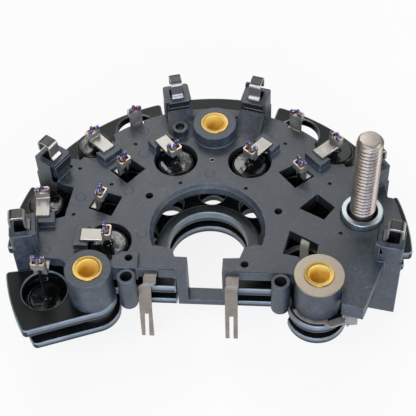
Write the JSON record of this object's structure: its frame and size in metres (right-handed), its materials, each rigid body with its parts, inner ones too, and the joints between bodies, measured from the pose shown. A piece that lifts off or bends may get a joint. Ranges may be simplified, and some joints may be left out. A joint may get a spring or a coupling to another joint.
{
  "type": "alternator rectifier",
  "caption": "Crescent-shaped alternator rectifier: stacked heat sink plates with press-fit diodes, a moulded terminal plate, brass fixing bushes and a tall threaded output stud.",
  "frame": {"origin": "shaft axis, centre of the circle of fixing bushes, on the mounting face", "axes": "+Z along the shaft from the mounting face to the stud's tip, +Y from the front notch to the bush opposite it, +X to the stud"},
  "size_m": [0.1288, 0.0994, 0.0705],
  "materials": {
    "sink_plate": "dark coated aluminium plate",
    "moulded_insulator": "fine grained dark slate moulding",
    "insulating_spacer": "black moulding",
    "brass_bush": "turned, bright",
    "steel_washer": "plain, dull",
    "diode_body": "metal cup sealed with dark resin",
    "tinned_terminal": "tinned strip, heat tinted at the welds",
    "spring_strip": "rolled spring strip, satin",
    "stud_steel": "warm grey plated thread",
    "zinc_sleeve": "zinc plated",
    "dull_terminal": "tarnished strip"
  },
  "bodies": {
    "root": {"negative_heat_sink": "sink_plate", "positive_heat_sink": "sink_plate", "insulator_plate": "moulded_insulator", "sink_spacer_top": "insulating_spacer", "mounting_bush_top": "brass_bush", "sink_spacer_left": "insulating_spacer", "mounting_bush_left": "brass_bush", "sink_spacer_right": "insulating_spacer", "mounting_bush_right": "brass_bush", "bush_washer": "steel_washer", "diode_pos_1": "diode_body", "diode_pos_2": "diode_body", "diode_pos_3": "diode_body", "diode_pos_4": "diode_body", "diode_pos_5": "diode_body", "diode_pos_6": "diode_body", "diode_neg_1": "diode_body", "diode_neg_2": "diode_body", "diode_neg_3": "diode_body", "diode_neg_4": "diode_body", "diode_neg_5": "diode_body", "diode_neg_6": "diode_body", "phase_bar_1": "tinned_terminal", "phase_bar_2": "tinned_terminal", "phase_bar_3": "tinned_terminal", "phase_bar_4": "tinned_terminal", "phase_bar_5": "tinned_terminal", "tap_bar": "tinned_terminal", "link_strap": "tinned_terminal", "spring_contact_left": "spring_strip", "spring_contact_right": "spring_strip", "output_stud": "stud_steel", "stud_sleeve": "zinc_sleeve", "side_terminal": "dull_terminal", "corner_terminal": "dull_terminal"}
  },
  "joints": []
}
